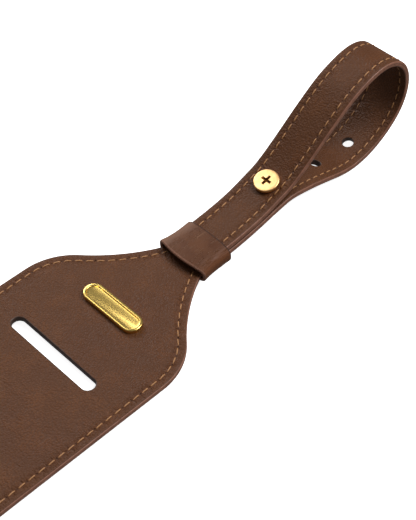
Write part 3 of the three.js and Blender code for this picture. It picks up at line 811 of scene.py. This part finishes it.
KEEPER_LENGTH = 12.6
KEEPER_WALL = 1.15
KEEPER_GAP = 0.3  # between the strands and the band
KEEPER_TOP = MID_Z + 3 * LAYER + STRAND_GAP + KEEPER_GAP + KEEPER_WALL
KEEPER_BOTTOM = PANEL_BACK_Z - KEEPER_GAP - KEEPER_WALL
KEEPER_ENDS = (10.6, 9.95)  # half widths at the panel side and at the strap side
KEEPER_WAIST = 9.35  # half width that the middle is drawn in towards
KEEPER_PINCH = 0.55
KEEPER_SQUARENESS = 3.1
KEEPER_SHIFT = -0.3  # the band sits this far off the strap's centre line
KEEPER_CROWN = 0.3
KEEPER_DROOP = 0.65  # the front of the panel-side rim sinks this far
KEEPER_DROOP_SHARE = 0.3  # share of the length over which it does
KEEPER_BELLY = 2.0  # the middle of the panel-side rim reaches this far over the panel
KEEPER_RIM_SHARE = 0.045  # share of the length in each rounded rim
KEEPER_GIRTH = 55  # distance round the band, for its UV layer
KEEPER_STEPS = 34
KEEPER_INSIDE_STEPS = 12
KEEPER_POINTS = 96


def keeper_material():
    """Smooth band leather with fine creases that run along the strap.

    Its UV runs along the strap and round the band, from the left side over the front to the right side.
    """
    n = Nodes("keeper_leather")
    flat = n.flat_place(FLAT)
    grain = leather_grain(n, flat, 0.3, 0.6)
    along, around = n.split(flat)
    drawn_out = n.add("CombineXYZ", X=n.math("MULTIPLY", along, 0.16), Y=n.math("MULTIPLY", around, 2.1))
    fold = n.ramp(n.noise(drawn_out, 1.0, 5.0, 0.65, 0.3), 0.5, 0.66)
    creases = n.math("MULTIPLY", fold, n.ramp(around, 8.0, 13.0, 0.2, 1.0))
    patches = n.noise(flat, 0.22, 4.0, 0.6, 0.5)
    tone = n.mix(n.ramp(patches, 0.3, 0.7), rgb(80, 44, 21), rgb(91, 54, 30))
    # painted highlight: the creases are lighter along their ridges
    tone = n.mix(n.math("MULTIPLY", creases, 0.4), tone, rgb(124, 90, 66))
    # painted sheen: the left third of the band is lighter
    left_side_painted_sheen = n.ramp(around, 4.0, 12.5, 0.85, 0.0)
    tone = n.mix(left_side_painted_sheen, tone, rgb(132, 98, 78))
    # painted light: the right side of the band is lighter
    right_side_painted_light = n.ramp(around, 18.0, 25.0, 0.0, 0.7)
    tone = n.mix(right_side_painted_light, tone, rgb(118, 72, 44))
    panel_rim = n.ramp(along, 0.2, 0.65, 0.85, 0.0)
    tone = n.mix(panel_rim, tone, rgb(140, 100, 82))
    # painted shade: a dark line along the strap-side rim, where the band presses on the strap
    strap_rim_painted_shade = n.ramp(along, KEEPER_LENGTH - 0.75, KEEPER_LENGTH - 0.4, 0.0, 0.85)
    tone = n.mix(strap_rim_painted_shade, tone, rgb(46, 30, 24))
    normal = n.bump(creases, 0.6, 0.00025)
    normal = n.bump(grain, 0.28, 0.00006, normal)
    rough = n.ramp(patches, 0.3, 0.7, 0.48, 0.58)
    return n.surface(Base_Color=tone, Roughness=rough, Normal=normal, Specular_IOR_Level=0.22)


def keeper_section(t, offset):
    """Points y, z of the keeper's rounded section at share t of its length; offset is in from its outside."""
    pinch = 4 * t * (1 - t)
    half = KEEPER_ENDS[0] * (1 - t) + KEEPER_ENDS[1] * t
    half = half + (KEEPER_WAIST - half) * pinch * KEEPER_PINCH - offset
    droop = KEEPER_DROOP * max(0.0, 1 - t / KEEPER_DROOP_SHARE) ** 1.6
    top, bottom = KEEPER_TOP - offset, KEEPER_BOTTOM + offset
    power = 2 / KEEPER_SQUARENESS
    section = []
    for j in range(KEEPER_POINTS):
        angle = 2 * math.pi * j / KEEPER_POINTS
        c, s = math.cos(angle), math.sin(angle)
        y = half * math.copysign(abs(c) ** power, c)
        z = (top + bottom) / 2 + (top - bottom) / 2 * math.copysign(abs(s) ** power, s)
        if s > 0:
            sunk = droop * s * min(1.0, 1.5 * (1 - y / half)) ** 0.7
            z += KEEPER_CROWN * (1 - (y / half) ** 2) - sunk
        section.append((y + KEEPER_SHIFT, z))
    return section


def on_lift(along, y, z):
    """Point at a distance along the lift, at height z over the level where the lift starts, in metres."""
    angle = along / LIFT_R
    radius = LIFT_CENTRE_Z - z
    return ((radius * math.sin(angle) + LIFT_X) * MM, y * MM, (LIFT_CENTRE_Z - radius * math.cos(angle)) * MM)


def crowned(y, z):
    """1 at the middle of the keeper's front, falling to 0 at its sides and back."""
    return max(0.0, 1 - ((y - KEEPER_SHIFT) / KEEPER_ENDS[0]) ** 2) if z > FRONT_Z else 0.0


def keeper():
    """Leather band: outside skin, rounded rims and inside skin, as one closed ring."""
    first, last = KEEPER_RIM_SHARE, 1 - KEEPER_RIM_SHARE
    outside = [(t, 0.0) for t in np.linspace(first, last, KEEPER_STEPS)]
    rim = [(0.972, 0.04), (0.986, 0.13), (0.996, 0.29), (1.0, 0.5), (0.998, KEEPER_WALL - 0.4),
           (0.99, KEEPER_WALL - 0.18), (0.976, KEEPER_WALL - 0.04)]
    inside = [(t, KEEPER_WALL) for t in np.linspace(last, first, KEEPER_INSIDE_STEPS)]
    profile = outside + rim + inside + [(1 - t, offset) for t, offset in rim[::-1]]
    verts, uvs = [], []
    for t, offset in profile:
        along = KEEPER_START + t * KEEPER_LENGTH
        belly = KEEPER_BELLY * (1 - t) ** 2
        verts += [on_lift(along - belly * crowned(y, z), y, z) for y, z in keeper_section(t, offset)]
    faces = skin(len(profile), KEEPER_POINTS, closed=True)
    along_uv = [t * KEEPER_LENGTH / UV_UNIT for t, offset in profile]
    around_uv = np.arange(KEEPER_POINTS + 1) * KEEPER_GIRTH / UV_UNIT / KEEPER_POINTS
    for a, b in zip(along_uv, along_uv[1:] + along_uv[:1]):
        for c, d in zip(around_uv, around_uv[1:]):
            uvs += [(a, c), (a, d), (b, d), (b, c)]
    obj = new_object("keeper_loop", verts, faces, [keeper_material()], 60)
    obj.data.uv_layers.new(name=FLAT).data.foreach_set("uv", np.array(uvs, float).ravel())
    outward_faces(obj.data)
    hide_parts("keeper_band")
    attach(obj, "keeper")


KEEPER_STITCHES = 7
KEEPER_STITCH_PITCH = 1.15
KEEPER_SEAM_START = 2.2
KEEPER_SEAM_WAVE = 2.2  # length of one zigzag
KEEPER_SEAM_HALF = 1.3


def keeper_seam():
    """Zigzag stitches that close the butt joint under the keeper."""
    def line(u):
        zigzag = 4 * abs(u / KEEPER_SEAM_WAVE % 1 - 0.5) - 1
        return u + KEEPER_SEAM_START, KEEPER_SEAM_HALF * zigzag

    def mapping(points):
        return [on_lift(KEEPER_START + x, y, KEEPER_BOTTOM - z) for x, y, z in points]

    obj = stitch_row("keeper_stitches", line, KEEPER_STITCHES, KEEPER_STITCH_PITCH, 0.0, mapping)
    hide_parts("keeper_thread")
    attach(obj, "keeper")


keeper()
keeper_seam()


# ---- screw and post ----

SCREW_DX, SCREW_DZ = SCREW_BACK[0] - SCREW_FRONT[0], SCREW_FRONT[1] - SCREW_BACK[1]
LEAN = math.atan2(SCREW_DX, SCREW_DZ)
CLAMP = math.hypot(SCREW_DX, SCREW_DZ)  # from the back strand's middle to the front strand's
HEAD_R = 4.4
HEAD_SEAT = 1.3  # from the front strand's middle to the underside of the head
HEAD_T = 1.2
HEAD_EDGE_R = 0.35
HEAD_CROWN = 0.05
SHANK_R = 1.05
SHANK_LENGTH = CLAMP + 2.5
RECESS_SPAN = 3.9
RECESS_WIDTH = 0.95
RECESS_DEPTH = 0.85
FLANGE_SEAT = 2.2  # from the back strand's middle to the flange
FLANGE_T = 1.0
FLANGE_EDGE_R = 0.4
BARREL_R = 1.65
BORE_R = 1.35
BORE_START = 1.6  # the profile starts on the bore's wall, this far from the rear face
SATIN_GOLD = metal("satin_gold", rgb(250, 206, 144), rgb(240, 192, 126), 0.27, 0.06)
# painted shade: the cross recess is dark brown metal, darker than the head
SHADED_RECESS = metal("recess_painted_shade", rgb(120, 78, 32), rgb(70, 42, 16), 0.5, 0.1)
POLISHED_GOLD = metal("polished_gold", rgb(240, 206, 118), rgb(236, 200, 110), 0.2)


def turned(profile, count=72):
    """Rings of points about the Z axis for a profile of radius and z."""
    rings = []
    for r, z in profile:
        rings.append([(r * math.cos(2 * math.pi * j / count), r * math.sin(2 * math.pi * j / count), z)
                      for j in range(count)])
    return rings


def round_edge(r, z, radius, start, steps=6):
    """Quarter circle of points about r, z, turning down by 90 degrees from the start angle."""
    angles = [math.radians(start - 90 * i / steps) for i in range(steps + 1)]
    return [(r + radius * math.cos(a), z + radius * math.sin(a)) for a in angles]


def on_screw_axis(obj):
    """Stand a turned piece on the screw's axis, with z = 0 at the back strand's middle."""
    matrix = Matrix.Translation(Vector((SCREW_BACK[0] + LIFT_X, 0, SCREW_BACK[1])) * MM)
    matrix = matrix @ Matrix.Rotation(-LEAN, 4, "Y") @ Matrix.Scale(MM, 4)
    obj.data.transform(matrix)


def recess_cutter(top, turn):
    """One tapered bar of the cross recess."""
    half, wide, flare = RECESS_SPAN / 2, RECESS_WIDTH / 2, 0.08
    rings = []
    for z, x, y in ((top - RECESS_DEPTH, half * 0.45, wide * 0.6), (top - 0.12, half * 0.96, wide),
                    (top + 0.03, half + flare, wide + flare), (top + 1, half + flare, wide + flare)):
        rings.append([(x, y, z), (-x, y, z), (-x, -y, z), (x, -y, z)])
    verts, faces = lofted(rings)
    obj = new_object("cutter", verts, faces, [SHADED_RECESS])
    obj.data.transform(Matrix.Rotation(turn, 4, "Z"))
    outward_faces(obj.data)
    return obj


def screw():
    """Screw with a slightly crowned head, a cross recess and a plain shank."""
    seat = CLAMP + HEAD_SEAT
    top = seat + HEAD_T
    profile = [(r, top + HEAD_CROWN * (1 - (r / HEAD_R) ** 2)) for r in (0.02, 1.3, 2.4, 3.3)]
    profile += round_edge(HEAD_R - HEAD_EDGE_R, top - HEAD_EDGE_R, HEAD_EDGE_R, 90)
    profile += [(HEAD_R, seat + 0.12), (HEAD_R - 0.12, seat), (SHANK_R, seat)]
    profile += [(SHANK_R, seat - SHANK_LENGTH), (SHANK_R - 0.25, seat - SHANK_LENGTH - 0.25)]
    verts, faces = lofted(turned(profile))
    obj = new_object("screw_head", verts, faces, [SATIN_GOLD], 35)
    outward_faces(obj.data)
    cut(obj, [recess_cutter(top + 0.1, 0.0), recess_cutter(top + 0.1, math.pi / 2)])
    smooth(obj.data, 35)
    on_screw_axis(obj)
    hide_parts("chicago_screw")
    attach(obj, "screw")


def post():
    """Post with a flange behind the back strand and a bored barrel."""
    rear = -FLANGE_SEAT - FLANGE_T
    top = CLAMP + HEAD_SEAT - 0.35
    bore_start = (BORE_R, rear + BORE_START)
    profile = [bore_start, (BORE_R, rear + 0.12), (BORE_R + 0.15, rear)]
    profile += round_edge(HEAD_R - FLANGE_EDGE_R, rear + FLANGE_EDGE_R, FLANGE_EDGE_R, 0)[::-1]
    profile += [(HEAD_R, -FLANGE_SEAT - 0.1), (HEAD_R - 0.1, -FLANGE_SEAT), (BARREL_R, -FLANGE_SEAT)]
    profile += [(BARREL_R, top - 0.1), (BARREL_R - 0.1, top), (BORE_R, top), bore_start]
    verts, faces = lofted(turned(profile), capped=False)
    obj = new_object("post_barrel", verts, faces, [SATIN_GOLD], 35)
    outward_faces(obj.data, 1e-7)
    on_screw_axis(obj)
    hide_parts("chicago_post")
    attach(obj, "post")


screw()
post()


# ---- emblem ----

# Rounded rim, step down and field: distance in from the outline, and depth under the plaque's top
EMBLEM_PROFILE = [(0.0, 0.35), (0.05, 0.17), (0.17, 0.05), (0.35, 0.0), (0.85, 0.0), (1.0, 0.04), (1.1, 0.15),
                  (1.14, 0.4), (1.22, 0.5), (1.4, 0.53)]


def emblem():
    """Plain raised plaque with a rounded rim round a lower field."""
    low, high = (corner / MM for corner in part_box("emblem"))
    x, half_x, half_y = (low.x + high.x) / 2, (high.x - low.x) / 2, (high.y - low.y) / 2
    profile = [(0.0, FRONT_Z)] + [(inset, high.z - depth) for inset, depth in EMBLEM_PROFILE]
    verts, faces = lofted([stadium(x, half_x - inset, half_y - inset, z, 64) for inset, z in profile])
    obj = new_object("emblem_plaque", np.array(verts) * MM, faces, [POLISHED_GOLD], 35)
    outward_faces(obj.data)
    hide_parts("emblem")
    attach(obj, "panel")


emblem()


# ---- card pocket ----

POCKET_LEATHER = leather("pocket_leather", rgb(106, 78, 61), rgb(88, 62, 47), rgb(116, 87, 68), seams=False)
POCKET_EDGE_R = 0.22


def pocket_frame():
    """Copy of the CAD frame with its coplanar triangles joined and its corners rounded."""
    work = bmesh.new()
    work.from_mesh(nodes["pocket_frame"].data)
    bmesh.ops.remove_doubles(work, verts=work.verts, dist=1e-6)
    bmesh.ops.dissolve_limit(work, angle_limit=math.radians(1), verts=work.verts, edges=work.edges)
    mesh = bpy.data.meshes.new("pocket_frame_leather")
    work.to_mesh(mesh)
    work.free()
    obj = bpy.data.objects.new("pocket_frame_leather", mesh)
    bpy.context.scene.collection.objects.link(obj)
    bevel = obj.modifiers.new("round", "BEVEL")
    bevel.width = POCKET_EDGE_R * MM
    bevel.segments = 3
    bevel.angle_limit = math.radians(35)
    obj.data = evaluated_mesh(obj)
    obj.modifiers.clear()
    obj.data.materials.clear()
    obj.data.materials.append(POCKET_LEATHER)
    points = np.empty(len(obj.data.vertices) * 3)
    obj.data.vertices.foreach_get("co", points)
    corners = np.empty(len(obj.data.loops), int)
    obj.data.loops.foreach_get("vertex_index", corners)
    uv = obj.data.uv_layers.new(name=FLAT)
    uv.data.foreach_set("uv", (points.reshape(-1, 3)[corners][:, :2] / MM / UV_UNIT).ravel())
    smooth(obj.data, 35)
    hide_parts("pocket_frame")
    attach(obj, "panel")


POCKET_SEAM_INSET = 0.3  # from the side of the CAD thread to its middle
POCKET_SEAM_R = 3.65
POCKET_SEAM_Z = 0.18


def pocket_stitches():
    """Stitches round the pocket's three sewn sides, in the groove under its edge."""
    low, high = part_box("pocket_thread")
    x0, x1, half = low.x / MM + POCKET_SEAM_INSET, high.x / MM, high.y / MM - POCKET_SEAM_INSET
    centre_x, centre_y = x0 + POCKET_SEAM_R, half - POCKET_SEAM_R
    corner = arc(centre_x, centre_y, POCKET_SEAM_R, math.pi / 2, math.pi, 8)
    path = [(x1, half)] + corner
    path = np.array(path + [(x, -y) for x, y in path[::-1]])
    lengths = np.r_[0, np.cumsum(np.linalg.norm(np.diff(path, axis=0), axis=1))]
    count = int(lengths[-1] / STITCH_PITCH)

    def line(u):
        return np.interp(u, lengths, path[:, 0]), np.interp(u, lengths, path[:, 1])

    def mapping(points):
        return [(x * MM, y * MM, (POCKET_SEAM_Z + z) * MM) for x, y, z in points]

    obj = stitch_row("pocket_stitches", line, count, lengths[-1] / count, -0.02, mapping)
    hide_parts("pocket_thread")
    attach(obj, "panel")


pocket_frame()
pocket_stitches()


def refinish(node, material):
    """Give a CAD piece that is shown another material."""
    for slot in nodes[node].material_slots:
        slot.material = material


refinish("window_film", film_material())
refinish("id_card", card_material())
refinish("panel_stiffener", board_material())
refinish("emblem_backing_plate", metal("zinc_plate", rgb(190, 190, 190), rgb(160, 160, 162), 0.35, 0.1))


# ---- floor, light and camera ----

FLOOR_HALF = 3  # in metres, as are the gap and the lights' places and sizes
FLOOR_GAP = 0.0002
LIGHTS = {  # place, target, size and power in watts
    "key": ((0.42, -0.32, 0.75), (0.0, 0, 0), (0.5, 0.5), 7.4),
    "back": ((0.22, 0.72, 0.5), (-0.05, 0, 0), (0.5, 0.3), 3.8),
    "top": ((0.07, 0.36, 0.66), (0.06, 0, 0), (0.22, 0.22), 0.5),
}
WORLD_STRENGTH = 0.2


def floor():
    """Pale floor that stays light in shadow, and that neither lights nor mirrors in the tag."""
    verts = [(x * FLOOR_HALF, y * FLOOR_HALF, 0) for x, y in ((-1, -1), (1, -1), (1, 1), (-1, 1))]
    n = Nodes("pale_floor")
    tone = n.mix(n.noise(n.place(), 0.002, 2.0), (0.86, 0.86, 0.86, 1), (0.9, 0.9, 0.9, 1))
    material = n.surface(Base_Color=tone, Roughness=0.9, Specular_IOR_Level=0.1,
                         Emission_Color=(1.0, 1.0, 1.0, 1.0), Emission_Strength=0.9)
    obj = new_object("floor", verts, [(0, 1, 2, 3)], [material])
    obj.location.z = -FLOOR_GAP
    obj.visible_diffuse = False
    obj.visible_glossy = False


def area_light(name, place, target, size, power):
    """Rectangular lamp at a place, turned to a target."""
    data = bpy.data.lights.new(name, "AREA")
    data.shape = "RECTANGLE"
    data.size, data.size_y = size
    data.energy = power
    obj = bpy.data.objects.new(name, data)
    bpy.context.scene.collection.objects.link(obj)
    obj.location = place
    obj.rotation_euler = (Vector(target) - Vector(place)).to_track_quat("-Z", "Y").to_euler()


def world():
    """Even white light from all round."""
    scene_world = bpy.data.worlds.new("studio")
    scene_world.use_nodes = True
    background = scene_world.node_tree.nodes["Background"]
    background.inputs["Color"].default_value = (1.0, 1.0, 1.0, 1)
    background.inputs["Strength"].default_value = WORLD_STRENGTH
    bpy.context.scene.world = scene_world


CAMERA_PLACE = (-182.3, -186.6, 281.8)  # from the lift's start on the panel's front
CAMERA_TURN, CAMERA_TILT, CAMERA_ROLL = (math.radians(angle) for angle in (-45.520, 42.485, 0.951))
CAMERA_LENS = 103.86
SENSOR_WIDTH = 36


def camera():
    """Camera matched to the photograph: turned, tilted up from straight down, and rolled a little."""
    data = bpy.data.cameras.new("camera")
    data.sensor_fit = "HORIZONTAL"
    data.sensor_width = SENSOR_WIDTH
    data.lens = CAMERA_LENS
    data.clip_start = 0.01
    obj = bpy.data.objects.new("camera", data)
    bpy.context.scene.collection.objects.link(obj)
    turns = ((CAMERA_TURN, "Z"), (CAMERA_TILT, "X"), (CAMERA_ROLL, "Z"))
    turn, tilt, roll = (Matrix.Rotation(angle, 4, axis) for angle, axis in turns)
    x, y, z = CAMERA_PLACE
    place = Matrix.Translation(Vector((x + LIFT_X, y, z + FRONT_Z)) * MM)
    obj.matrix_world = place @ turn @ tilt @ roll
    bpy.context.scene.camera = obj


floor()
for light, settings in LIGHTS.items():
    area_light(light, *settings)
world()
camera()
bpy.context.scene.view_settings.view_transform = "Standard"
